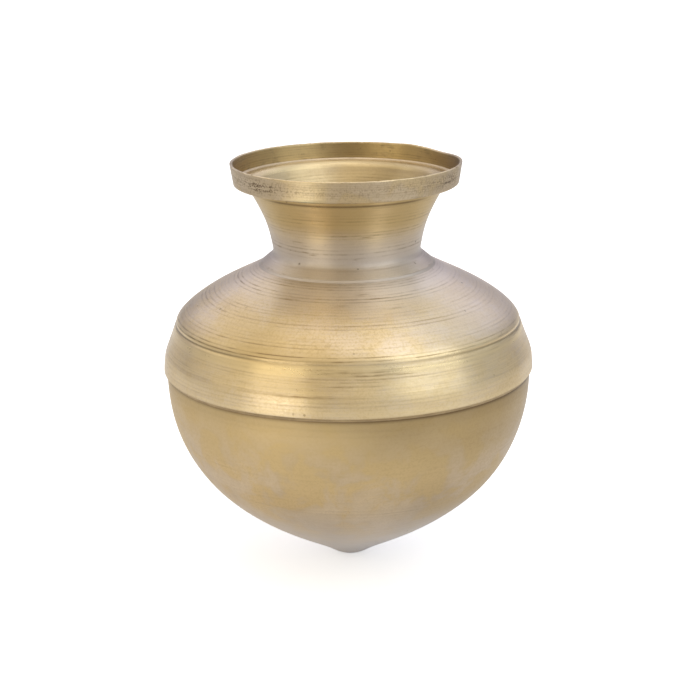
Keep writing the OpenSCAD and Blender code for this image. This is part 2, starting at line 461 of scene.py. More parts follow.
def band_curve(s):
    """Cubic from the skirt's lower edge to the crease."""
    return handles(
        [s.belly_r, s.skirt_z + s.skirt_round], math.pi / 2, s.band_low_pull,
        s.crease, math.pi - s.band_lean, s.band_top_pull,
    )


def lap_line(s, off, step):
    """The lapped part of the band, set in by a distance, from the skirt's edge to the bowl's mouth."""
    return np.vstack([
        [[s.belly_r - off, s.skirt_z]],
        sweep(band_curve(s), step, off, high=s.lap_z),
    ])


def shoulder_curve(s):
    """Cubic from the crease to the edge of the neck's seat."""
    return handles(
        s.crease, math.pi - s.crease_lean, s.crease_pull,
        [s.seat_r, s.seat_z], math.pi - s.seat_slope, s.seat_pull,
    )


def bowl_curve(s):
    """Cubic from the drop at the tip to the belly."""
    tip_angle = math.asin(s.tip_r / s.tip_ball)
    return handles(
        [s.tip_r, s.tip_ball * (1 - math.cos(tip_angle))], s.cone_slope, s.cone_pull,
        [s.bowl_r, s.bead_z], math.pi / 2, s.belly_pull,
    )


def drop_line(s, off, step):
    """Arc of the drop under the bowl, from the axis out, set in by a distance."""
    a = np.linspace(0, math.asin(s.tip_r / s.tip_ball), max(4, round(s.tip_r / step)))
    ball = s.tip_ball - off
    return np.column_stack([ball * np.sin(a), s.tip_ball - ball * np.cos(a)])


def seat(s, r, off):
    """A point of the cone that the neck sits on, raised square to it."""
    on_cone = np.array([r, s.seat_z + (s.seat_r - r) * math.tan(s.seat_slope)])
    return on_cone + off * way(math.pi / 2 - s.seat_slope)


def collar_in(s, z):
    """Point of the collar's inside at a height."""
    return np.array([s.collar_r + s.collar_lean * (z - s.collar_z) / (s.rim_z - s.collar_z), z])


def lip_end(s, z):
    """Point at a height of the lip's cut edge, a braze gap short of the collar."""
    return collar_in(s, z) - [s.gap, 0]


def neck_lines(s):
    """Cubics of the neck's outside from its foot up: the foot's corner, the flare, the lip's corner."""
    foot = [s.waist_r, seat(s, s.waist_r, 0)[1] + (s.gap + s.neck_wall) / math.cos(s.seat_slope)]
    foot_turn = corner(foot, math.pi - s.seat_slope, s.neck_lean, s.foot_round)
    lip_turn = corner([s.mouth_r, s.collar_z], s.flare_lean, 0, s.lip_round)
    flare = handles(foot_turn[3], s.neck_lean, s.waist_pull, lip_turn[0], s.flare_lean, s.flare_pull)
    return foot_turn, flare, lip_turn


def straight(start, end, step):
    """Points a step apart on a straight line."""
    return spaced(np.array([start, end]), step)


def on_face(face, shown, hidden):
    """Paint of a piece: every field as given on its face, and one value, 0 unless given, elsewhere."""
    return {key: np.where(face, values, hidden.get(key, 0.0)) for key, values in shown.items()}


def marks(depth, from_front, width, strength, places):
    """Short dark marks along the turning lines: bells at (depth in mm, bearing, reach in degrees)."""
    return sum(
        strength * hump(depth, down * MM, width) * hump(from_front, bearing, reach)
        for down, bearing, reach in places
    )


class KALASH_OT_bowl(bpy.types.Operator):
    """Pointed bowl: a drop at the tip, one curve to the belly, and a mouth that stands inside the skirt"""

    bl_idname = "kalash.bowl"
    bl_label = "Bowl"

    def execute(self, context):
        s = plan(context.scene.kalash_sizes)
        set_in = s.shoulder_wall + s.gap
        outline, owner = loop(
            drop_line(s, 0, 0.25 * MM),
            sweep(bowl_curve(s), 0.3 * MM),
            lap_line(s, set_in, 0.5 * MM),
            lap_line(s, set_in + s.bowl_wall, 0.5 * MM)[::-1],
            sweep(bowl_curve(s), 0.7 * MM, s.bowl_wall)[::-1],
            drop_line(s, s.bowl_wall, 0.5 * MM)[::-1],
        )
        arc, angle = arc_lengths(outline), ring(s.columns)
        from_front = facing(angle)
        r, z = outline[:, :1], outline[:, 1:]
        face = (owner < 2)[:, None]
        shown = step_between(r, s.tip_r, 4 * s.tip_r) * step_between(z, s.bead_z, s.bead_z - 2 * MM)
        turning = grooves(arc, angle, 1.1 * MM, 12)
        uneven = 0.020 * MM * (waves(arc, angle, 11, 4, 14 * MM) - SPREAD)
        relief = np.where(face, (uneven - 0.003 * MM * turning) * shown, 0)
        # Painted shade: a shadow line under the skirt's edge and softer shade below it; stain is a brown
        # stain.
        skirt_shadow = 0.60 * hump(z, s.bead_z, 0.32 * MM) * (1 - 0.6 * hump(from_front, -85, 30))
        shade_below_skirt = 0.20 * hump(z, s.bead_z, 2.2 * MM)
        stain = 0.16 * hump(from_front, 16, 10) * hump(z, s.bead_z - 3 * MM, 2.4 * MM)
        # Painted shade: the upper bowl under the band is darker, more on its right front, and the whole
        # right side is darker.
        belly = 0.10 * step_between(z, 21 * MM, 31 * MM)
        belly = belly + 0.13 * on_right(from_front, -6, 8) * step_between(z, 24 * MM, 31 * MM)
        right = 0.20 * on_right(from_front, 0, 45) * step_between(z, 8 * MM, 16 * MM)
        shown_paint = {
            "grime": 0.0,
            # Painted reflection of the floor, fading out upwards from the tip.
            "tip_reflection": 1 - step_between(z, 3 * MM, 20 * MM),
            "gold": 0.80 * step_between(z, 20 * MM, s.bead_z),
            "groove": 0.18 * turning * shown,
            "shade_and_stain": skirt_shadow + shade_below_skirt + stain + belly + right,
        }
        paint = on_face(face, shown_paint, {"grime": 0.18, "gold": 0.5})
        piece = turned("bowl_skin", outline, s, s.columns, relief, paint)
        place(piece, "bowl", "bowl_brass", brass("Dull spun brass", context, "bowl"))
        return {"FINISHED"}


class KALASH_OT_shoulder(bpy.types.Operator):
    """Shoulder: a skirt and band below a worked crease, then a grooved dome up to the neck's seat"""

    bl_idname = "kalash.shoulder"
    bl_label = "Shoulder"

    def execute(self, context):
        s = plan(context.scene.kalash_sizes)
        edge = corner([s.belly_r, s.skirt_z], 0, math.pi / 2, s.skirt_round)
        outline, owner = loop(
            sweep(edge, 0.05 * MM),
            sweep(band_curve(s), 0.1 * MM),
            sweep(shoulder_curve(s), 0.1 * MM),
            straight([s.seat_r, s.seat_z], seat(s, s.hole_r, 0), 0.3 * MM),
            straight(
                seat(s, s.hole_r, -s.shoulder_wall), seat(s, s.seat_r, -s.shoulder_wall), 0.6 * MM
            ),
            sweep(shoulder_curve(s), 0.6 * MM, s.shoulder_wall)[::-1],
            sweep(band_curve(s), 0.6 * MM, s.shoulder_wall, low=s.lap_z)[::-1],
            lap_line(s, s.shoulder_wall, 0.6 * MM)[::-1],
        )
        arc, angle = arc_lengths(outline), ring(s.columns)
        from_front = facing(angle)
        r, z, part = outline[:, :1], outline[:, 1:], owner[:, None]
        face = part < 3

        fine = grooves(arc, angle, 0.68 * s.groove_pitch, 27, 1.2)
        coarse = grooves(arc, angle, 1.6 * s.groove_pitch, 28, 1.5)
        on_dome = grooves(arc, angle, s.groove_pitch, 21)
        turning = np.where(part < 2, 0.45 * fine + 0.25 * coarse, on_dome)
        turning *= 0.55 + 0.45 * np.cos(angle + math.pi / 2 + 0.5)
        turning *= step_between(z, s.skirt_z, s.skirt_z + 1.5 * MM)

        at_crease = arc[owner == 1][-1]
        above_skirt = arc[:, None]
        wander = 0.07 * MM * ring_wave(angle, 22, 1, 5)
        depth = 1 - 0.85 * np.exp(-(((from_front - 5) / 42) ** 4))
        depth = np.clip(depth + 0.08 * ring_wave(angle, 23, 1, 12), 0.03, 1)
        crease = s.crease_depth * depth * hump(above_skirt - wander, at_crease, s.crease_width)

        uneven = 0.018 * MM * (waves(arc, angle, 24, 5, 9 * MM) - SPREAD)
        uneven *= step_between(z, s.skirt_z, s.skirt_z + 2 * MM)
        uneven *= step_between(z, s.seat_z, s.seat_z - 1.5 * MM)
        relief = np.where(face, uneven - crease - 0.7 * s.groove_depth * turning, 0)
        scalloped = np.clip(0.04 * MM * (1 + ring_wave(angle, 25, 2, 9) / 2.5), 0, 0.1 * MM)
        drop = np.where(part == 0, scalloped, 0)

        dark = marks(
            at_crease - above_skirt, from_front, 0.15 * MM, 1.5,
            ((1.1, 4, 10), (1.7, 9, 13), (2.3, 12, 9), (3.4, 2, 8), (5.2, -12, 14)),
        ) + marks(
            s.seat_z - z, from_front, 0.10 * MM, 1.0,
            ((1.3, 7, 4), (1.8, 13, 3), (2.1, -30, 5), (2.5, -3, 4), (3.1, 22, 4)),
        )
        ragged = 0.15 * MM * ring_wave(angle, 26, 4, 24)
        edges = 0.9 * hump(above_skirt, at_crease + 0.7 * MM, 0.8 * MM)
        edges = edges + 0.8 * hump(above_skirt, at_crease - 1.1 * MM, 0.7 * MM)
        # Painted shade: in the crease, along the skirt's edge, on the dome's left front above the crease
        # and towards the neck's foot.
        crease_shade = 0.75 * depth * hump(above_skirt - wander, at_crease, 0.6 * s.crease_width)
        skirt_edge_shade = 0.35 * hump(z, s.skirt_z, 0.18 * MM)
        left_front_shade = 0.16 * hump(from_front, -36, 20) + 0.12 * hump(from_front, -12, 16)
        neck_foot_shade = 0.17 * step_between(r, s.seat_r + 2.2 * MM, s.seat_r + 0.1 * MM)
        pale_top = 0.5 + 0.35 * on_right(from_front, -30, 20)
        pale_top = pale_top * step_between(z, s.seat_z - 5 * MM, s.seat_z)
        pale_side = 0.45 * on_right(from_front, 15, 60)
        pale_side = pale_side * step_between(z, s.crease[1], s.crease[1] + 3 * MM)
        shown_paint = {
            "grime": 0.10 * hump(r - ragged, s.seat_r + 0.15 * MM, 0.30 * MM),
            "wear_and_highlight": edges + 0.45 * (above_skirt < at_crease),
            "groove": turning + dark,
            "shade_and_stain": crease_shade + skirt_edge_shade + left_front_shade * (above_skirt > at_crease) + neck_foot_shade,
            "gold": 0.65 * hump(from_front, -34, 26) * hump(z, s.crease[1] + 1 * MM, 4.5 * MM),
            "pale": np.maximum(pale_top, pale_side),
        }
        paint = on_face(face, shown_paint, {"grime": 0.6, "gold": 0.4})
        piece = turned("shoulder_skin", outline, s, s.columns, relief, paint, drop)
        place(piece, "shoulder", "shoulder_brass", brass("Turned brass", context, "shoulder"))
        return {"FINISHED"}


class KALASH_OT_neck(bpy.types.Operator):
    """Neck: a foot flange on the shoulder, a tight corner, a flare, and a flat lip under the collar"""

    bl_idname = "kalash.neck"
    bl_label = "Neck"

    def execute(self, context):
        s = plan(context.scene.kalash_sizes)
        foot_turn, flare, lip_turn = neck_lines(s)
        flare_in = sweep(flare, 0.12 * MM, s.neck_wall)
        foot_in = seat(s, s.hole_r, s.gap)
        pull = 0.4 * np.linalg.norm(flare_in[0] - foot_in)
        hole = handles(foot_in, math.pi - s.seat_slope, pull, flare_in[0], s.neck_lean, pull)
        outline, owner = loop(
            straight(seat(s, s.foot_r, s.gap + s.foot_edge), foot_turn[0], 0.1 * MM),
            sweep(foot_turn, 0.1 * MM),
            sweep(flare, 0.12 * MM),
            sweep(lip_turn, 0.1 * MM),
            straight(lip_turn[3], lip_end(s, s.collar_z), 0.2 * MM),
            lip_end(s, s.bevel_z),
            straight(
                lip_end(s, s.ledge_z) - [s.rim_bead, 0], lip_turn[3] + [0, s.neck_wall], 0.15 * MM
            ),
            sweep(lip_turn, 0.1 * MM, s.neck_wall)[::-1],
            flare_in[::-1],
            sweep(hole, 0.2 * MM)[::-1],
            straight(foot_in, seat(s, s.foot_r, s.gap), 0.3 * MM),
        )
        arc, angle = arc_lengths(outline), ring(s.columns)
        from_front = facing(angle)
        r, z, part = outline[:, :1], outline[:, 1:], owner[:, None]
        outside, flared, inside = part <= 2, part == 2, part == 8
        under_lip, ledge, ledge_turn, hidden = part == 4, part == 6, part == 7, part >= 9

        turning = grooves(arc, angle, 0.7 * MM, 31)
        turning *= step_between(z, s.collar_z, s.collar_z - 1.5 * MM)
        turning *= 1 - 0.8 * hump(z, s.seat_z + 2.4 * MM, 1.2 * MM)
        relief = np.where(outside | inside, -0.5 * s.groove_depth * turning, 0)

        ragged = 0.12 * MM * ring_wave(angle, 33, 6, 40)
        # Painted highlights: shine marks bright streaks left and right of the front on the flare; they go
        # into the rub paint, and the golden film is thinner under them.
        shine = 0.12 + 0.75 * hump(from_front, 20, 8) + 0.65 * hump(from_front, -20, 8)
        dark = marks(
            s.collar_z - z, from_front, 0.09 * MM, 1.2,
            ((8.3, -38, 4), (8.9, -31, 3), (10.4, -26, 3), (7.0, 14, 4), (11.0, 6, 2)),
        )
        tarnish = 0.9 - 0.55 * shine
        # Painted shade: a dark crescent under the collar on the front.
        under_collar_shade = 0.75 * hump(z, s.collar_z - 1.1 * MM, 0.22 * MM)
        under_collar_shade = under_collar_shade * step_between(np.abs(from_front), 62, 40)
        pale = 0.55 + 0.45 * step_between(z, s.seat_z + 1 * MM, s.seat_z + 3 * MM)
        pale = pale * (1 - step_between(z, s.seat_z + 2.5 * MM, s.collar_z - 5 * MM))
        paint = {
            "grime": np.select(
                [part <= 1, under_lip, inside, hidden],
                [
                    0.10 * hump(r - ragged, s.foot_r, 0.25 * MM),
                    0.15,
                    0.30 * step_between(z, s.ledge_z - 8 * MM, s.seat_z),
                    0.5,
                ],
                0.0,
            ),
            # Painted highlights on the flare from shine; the ledge, its corner and the inner wall are
            # brighter too.
            "wear_and_highlight": np.select(
                [flared, ledge_turn, ledge, inside],
                [shine * step_between(z, s.seat_z + 2 * MM, s.seat_z + 7 * MM), 0.9, 0.6, 0.45],
                0.0,
            ),
            "groove": np.where(outside | inside, 0.7 * turning + dark * flared, 0.0),
            "gold": np.where(
                part <= 4, tarnish * step_between(z, s.collar_z - 8 * MM, s.collar_z - 4 * MM), 0.25
            ),
            "pale": np.where(outside, pale, 0.0),
            # Painted shade under the collar's lip, in the crescent below it and on one side of the neck's
            # inside and ledge.
            "shade_and_stain": np.select(
                [under_lip, flared, inside | ledge_turn],
                [0.3, under_collar_shade, 0.35 * step_between(np.cos(angle - 0.6), 0.55, 0.95)],
                0.0,
            ),
        }
        piece = turned("neck_skin", outline, s, s.columns, relief, paint)
        place(piece, "neck", "neck_brass", brass("Bright turned brass", context, "neck"))
        return {"FINISHED"}


class KALASH_OT_rim_collar(bpy.types.Operator):
    """Collar: an upright band round the mouth, its edges nicked and pressed a little out of true"""

    bl_idname = "kalash.rim_collar"
    bl_label = "Rim collar"

    def execute(self, context):
        s = plan(context.scene.kalash_sizes)
        lean = math.atan2(s.rim_z - s.collar_z, s.collar_lean)
        foot, top = collar_in(s, s.collar_z), collar_in(s, s.rim_z)
        low_edge = corner(foot + [s.collar_wall, 0], 0, lean, s.edge_round)
        high_edge = corner(top + [s.collar_wall, 0], lean, math.pi, s.edge_round)
        in_edge = corner(top, math.pi, lean + math.pi, s.edge_round)
        outline, owner = loop(
            straight(foot, low_edge[0], 0.15 * MM),
            sweep(low_edge, 0.05 * MM),
            straight(low_edge[3], high_edge[0], 0.1 * MM),
            sweep(high_edge, 0.05 * MM),
            sweep(in_edge, 0.05 * MM),
            straight(in_edge[3], foot, 0.12 * MM)[:-1],
        )
        columns = 2 * s.columns
        arc, angle = arc_lengths(outline), ring(columns)
        from_front = facing(angle)
        from_back = 180 - np.abs(from_front)
        z, part = outline[:, 1:], owner[:, None]
        at_edge, outside, inside = np.isin(part, (1, 3, 4)), part == 2, part == 5

        nick = np.clip(ring_wave(angle, 41, 20, 120) - 1.1, 0, 1)
        flats = 0.02 * MM * (ring_wave(angle, 42, 3, 24) - SPREAD)
        turning = grooves(arc, angle, 0.45 * MM, 43)
        scratch = -0.004 * MM * turning
        relief = np.select(
            [part == 0, at_edge, outside],
            [0, -0.05 * MM * nick + 0.5 * flats, scratch + 0.5 * flats],
            scratch,
        )

        stain = np.clip(ring_wave(angle, 44, 2, 30), 0, 1)
        at_foot = hump(z, s.collar_z, 0.4 * MM)
        half_way_up = hump(z, (s.collar_z + s.rim_z) / 2, 1.0 * MM)
        inside_shade = 0.38 * hump(from_back, 0, 13) + 0.50 * hump(from_front, 92, 38)
        pitted = 0.9 * hump(from_front, -50, 15) + 0.6 * hump(from_front, 62, 11) + 0.22
        paint = {
            "grime": np.select(
                [part == 1, outside, part == 3, part == 4, inside],
                [
                    0.05 + 0.1 * stain,
                    0.15 * at_foot * stain,
                    0.10 + 0.3 * stain,
                    0.10 + 0.1 * stain,
                    0.10 + 0.15 * hump(z, s.ledge_z, 0.4 * MM),
                ],
                0.5,
            ),
            # A painted highlight left of the front on the collar's outside, and rubbed top and inner
            # edges.
            "wear_and_highlight": np.select(
                [outside, part == 3, part == 4], [0.1 + 0.9 * hump(from_front, -20, 10), 0.9, 0.7], 0.2
            ),
            "groove": np.where(at_edge, 0.0, 0.6 * turning),
            "gold": np.where(inside, 0.85, 0.0),
            "shade_and_stain": np.where(inside, inside_shade, 0.0),
            "pitted": np.where(outside, pitted * half_way_up, 0.0),
            "green": np.where(part <= 2, 0.5 * hump(from_front, -19, 7) * at_foot, 0.0),
        }
        piece = turned("collar_skin", outline, s, columns, relief, paint)
        place(piece, "rim_collar", "rim_brass", brass("Scratched brass", context, "collar"))
        return {"FINISHED"}


class KALASH_OT_brazes(bpy.types.Operator):
    """Brazes: the metal that fills the three seams, with an uneven bead where each one shows"""

    bl_idname = "kalash.brazes"
    bl_label = "Brazes"

    def execute(self, context):
        s = plan(context.scene.kalash_sizes)
        material = braze_metal(context)
        belly, belly_part = loop(
            straight([s.bowl_r, s.bead_z], [s.belly_r - s.shoulder_wall / 2, s.skirt_z], 0.08 * MM),
            lap_line(s, s.shoulder_wall, 0.5 * MM),
            lap_line(s, s.shoulder_wall + s.gap, 0.5 * MM)[::-1],
        )
        foot, foot_part = loop(
            straight(seat(s, s.seat_r, 0), seat(s, s.foot_r, s.gap + s.foot_edge), 0.06 * MM),
            straight(seat(s, s.foot_r, s.gap), seat(s, s.hole_r, s.gap), 0.4 * MM),
            straight(seat(s, s.hole_r, 0), seat(s, s.seat_r, 0), 0.4 * MM),
        )
        rim, rim_part = loop(
            straight(
                collar_in(s, s.ledge_z + s.rim_bead), lip_end(s, s.ledge_z) - [s.rim_bead, 0], 0.06 * MM
            ),
            lip_end(s, s.bevel_z),
            lip_end(s, s.collar_z),
            collar_in(s, s.collar_z),
        )
        columns = 2 * s.columns
        angle = ring(columns)
        # The belly braze's dark bead is both its dark joint and painted shadow under the skirt's edge.
        for seed, (node, outline, part, depth, dark, pale) in enumerate([
            ("belly_braze", belly, belly_part, 0.03, 0.60, 0.0),
            ("neck_braze", foot, foot_part, 0.01, 0.0, 0.9),
            ("rim_braze", rim, rim_part, 0.03, 0.10, 0.4),
        ]):
            bead = part == 0
            share = np.zeros(len(outline))
            share[bead] = np.sin(np.linspace(0, math.pi, bead.sum()))
            lumps = ring_wave(angle, 50 + seed, 3, 36)
            lumps = lumps + 0.3 * waves(arc_lengths(outline), angle, 60 + seed, 60, 0.5 * MM)
            relief = -depth * MM * share[:, None] * np.clip(1 + 0.1 * lumps, 0, 2)
            shown_paint = {"grime": np.clip(dark + 0.04 * lumps, 0, 1), "pale": pale}
            paint = on_face(bead[:, None], shown_paint, {"grime": 0.6})
            piece = turned(node + "_skin", outline, s, columns, relief, paint)
            place(piece, node, "braze_metal", material)
        return {"FINISHED"}


# ---------------------------------------------------------------- finishes


class Board:
    """A node tree, with short ways to add nodes and to join them."""

    def __init__(self, tree):
        self.tree = tree
        tree.nodes.clear()

    def feed(self, node, inputs):
        """Gives each named input of a node a value or a link."""
        for key, value in inputs.items():
            if isinstance(value, bpy.types.NodeSocket):
                self.tree.links.new(value, node.inputs[key])
            else:
                node.inputs[key].default_value = value

    def add(self, kind, inputs=None, **settings):
        """Adds a node with its settings and inputs."""
        made = self.tree.nodes.new(kind)
        for key, value in settings.items():
            setattr(made, key, value)
        self.feed(made, inputs or {})
        return made

    def group(self, tree, **inputs):
        """First output of a shared group, with its own values."""
        return self.add("ShaderNodeGroup", inputs, node_tree=tree).outputs[0]

    def painted(self, key):
        """Value painted on the piece under a name."""
        return self.add("ShaderNodeAttribute", attribute_name=key).outputs["Fac"]

    def calc(self, operation, a, b=0.0, clamp=False):
        """One step of arithmetic."""
        return self.add("ShaderNodeMath", {0: a, 1: b}, operation=operation, use_clamp=clamp).outputs[0]

    def summed(self, base, *parts, clamp=False):
        """A value with others added to it, each times its own weight."""
        for value, weight in parts:
            base = self.calc("ADD", base, self.calc("MULTIPLY", value, weight))
        base.node.use_clamp = clamp
        return base

    def varied(self, base, *parts, clamp=False):
        """A value moved up and down by noises about their middle, each times its own gain."""
        centred = [(self.calc("SUBTRACT", noise, 0.5), gain) for noise, gain in parts]
        return self.summed(base, *centred, clamp=clamp)

    def blend(self, share, low, high):
        """Colour between two others."""
        made = self.add("ShaderNodeMix", {0: share, 6: low, 7: high}, data_type="RGBA")
        return made.outputs[2]

    def rise(self, value, low, high, to_low=0.0, to_high=1.0):
        """Smooth step from one value to another as the input goes from low to high."""
        made = self.add(
            "ShaderNodeMapRange", {0: value, 1: low, 2: high, 3: to_low, 4: to_high},
            interpolation_type="SMOOTHSTEP",
        )
        return made.outputs[0]

    def layered(self, colour, layers):
        """A colour with others laid over it in turn, each as far as its own mask says."""
        for share, over in layers:
            colour = self.blend(share, colour, over)
        return colour


def shared(name, inputs, output, build):
    """Node group with named float inputs and one output, built once; build gets its board and its
    input sockets and gives back the socket of the output."""
    group = bpy.data.node_groups.get(name)
    if group:
        return group
    group = bpy.data.node_groups.new(name, "ShaderNodeTree")
    for key, value in inputs.items():
        socket = group.interface.new_socket(name=key, in_out="INPUT", socket_type="NodeSocketFloat")
        socket.default_value = value
    group.interface.new_socket(name=output, in_out="OUTPUT", socket_type="NodeSocketFloat")
    board = Board(group)
    given = board.add("NodeGroupInput").outputs
    board.add("NodeGroupOutput", {0: build(board, given)})
    return group


def tool_lines():
    """Lines left by a tool on a turning piece: noise read at (cos a, sin a) times Turns, and at
    the arc length times Per_mm."""

    def build(board, given):
        place = board.add("ShaderNodeTexCoord").outputs["Object"]
        apart = board.add("ShaderNodeSeparateXYZ", {0: place}).outputs
        flat = board.add("ShaderNodeCombineXYZ", {0: apart[0], 1: apart[1]}).outputs[0]
        unit = board.add("ShaderNodeVectorMath", {0: flat}, operation="NORMALIZE").outputs[0]
        spun = board.add(
            "ShaderNodeVectorMath", {0: unit, 3: given["Turns"]}, operation="SCALE"
        ).outputs[0]
        up = board.calc("MULTIPLY", board.painted("arc"), given["Per_mm"])
        lift = board.add("ShaderNodeCombineXYZ", {2: up}).outputs[0]
        at = board.add("ShaderNodeVectorMath", {0: spun, 1: lift}, operation="ADD").outputs[0]
        noise = board.add(
            "ShaderNodeTexNoise",
            {"Vector": at, "Scale": 1.0, "Detail": given["Detail"], "Roughness": 0.6},
        )
        return board.rise(noise.outputs["Fac"], 0.25, 0.75)

    return shared("Tool lines", {"Turns": 1.5, "Per_mm": 1.3, "Detail": 3.0}, "Lines", build)


def clouds():
    """Soft uneven tarnish: noise on the piece's own coordinates, spread between 0 and 1."""

    def build(board, given):
        place = board.add("ShaderNodeTexCoord").outputs["Object"]
        noise = board.add(
            "ShaderNodeTexNoise",
            {
                "Vector": place, "Scale": given["Scale"], "Detail": given["Detail"],
                "Roughness": 0.55, "Distortion": 0.4,
            },
        )
        return board.rise(noise.outputs["Fac"], 0.3, 0.7)

    return shared("Clouds", {"Scale": 90.0, "Detail": 4.0}, "Clouds", build)


def specks():
    """Small dark pits: cells whose own random share is high, each with a round dot at its middle."""

    def build(board, given):
        place = board.add("ShaderNodeTexCoord").outputs["Object"]
        cells = board.add("ShaderNodeTexVoronoi", {"Vector": place, "Scale": given["Scale"]})
        dot = board.rise(cells.outputs["Distance"], 0.32, 0.12)
        chosen = board.add("ShaderNodeSeparateColor", {0: cells.outputs["Color"]}).outputs[0]
        kept = board.rise(chosen, board.calc("SUBTRACT", 1.0, given["Share"]), 1.0)
        return board.calc("MULTIPLY", dot, kept)

    return shared("Specks", {"Scale": 900.0, "Share": 0.1}, "Specks", build)


def scratches():
    """Fine straight scratches: stretched noise kept only where it is near its middle value."""

    def build(board, given):
        place = board.add("ShaderNodeTexCoord").outputs["Object"]
        stretched = board.add(
            "ShaderNodeMapping",
            {"Vector": place, "Rotation": (0.5, 0.2, 0.9), "Scale": (260, 2600, 1500)},
        ).outputs[0]
        noise = board.add(
            "ShaderNodeTexNoise", {"Vector": stretched, "Scale": 1.0, "Detail": 2.0, "Distortion": 0.6}
        ).outputs["Fac"]
        patches = board.add(
            "ShaderNodeTexNoise", {"Vector": place, "Scale": 120.0, "Detail": 2.0}
        ).outputs["Fac"]
        line = board.rise(board.calc("ABSOLUTE", board.calc("SUBTRACT", noise, 0.5)), 0.02, 0.0)
        patchy = board.rise(patches, board.calc("SUBTRACT", 0.75, given["Share"]), 0.8)
        return board.calc("MULTIPLY", line, patchy)

    return shared("Scratches", {"Share": 0.3}, "Scratches", build)


def blank(name):
    """New material with an empty board and a Principled shader joined to its output."""
    material = bpy.data.materials.new(name)
    material.use_nodes = True
    board = Board(material.node_tree)
    shader = board.add("ShaderNodeBsdfPrincipled")
    board.add("ShaderNodeOutputMaterial", {0: shader.outputs[0]})
    return material, board, shader


def between(low, high, share):
    """Colour a share of the way from one colour property to another."""
    return tuple(a + (b - a) * share for a, b in zip(low, high))


def opaque(colour, share=1.0):
    """A colour made darker by a share, with full alpha."""
    return (*(share * part for part in colour), 1.0)


LOOKS = {
    "bowl": SimpleNamespace(
        tone=0.975, dull=0.75, film=0.60, cloud=1.00, line=0.20, hair=0.25, grit=0.50,
        rough=0.44, stretch=0.55, specks=0.01, scratches=0.10, relief=1.0,
    ),
    "shoulder": SimpleNamespace(
        tone=1.0, dull=0.10, film=0.35, cloud=0.40, line=0.50, hair=0.85, grit=0.85,
        rough=0.40, stretch=0.79, specks=0.01, scratches=0.12, relief=1.6,
    ),
    "neck": SimpleNamespace(
        tone=0.82, dull=0.40, film=0.20, cloud=0.30, line=0.50, hair=0.65, grit=0.55,
        rough=0.40, stretch=0.85, specks=0.04, scratches=0.25, relief=1.2,
    ),
    "collar": SimpleNamespace(
        tone=0.83, dull=0.95, film=0.40, cloud=0.55, line=0.50, hair=0.80, grit=1.10,
        rough=0.42, stretch=0.88, specks=0.10, scratches=0.45, relief=1.6,
    ),
}


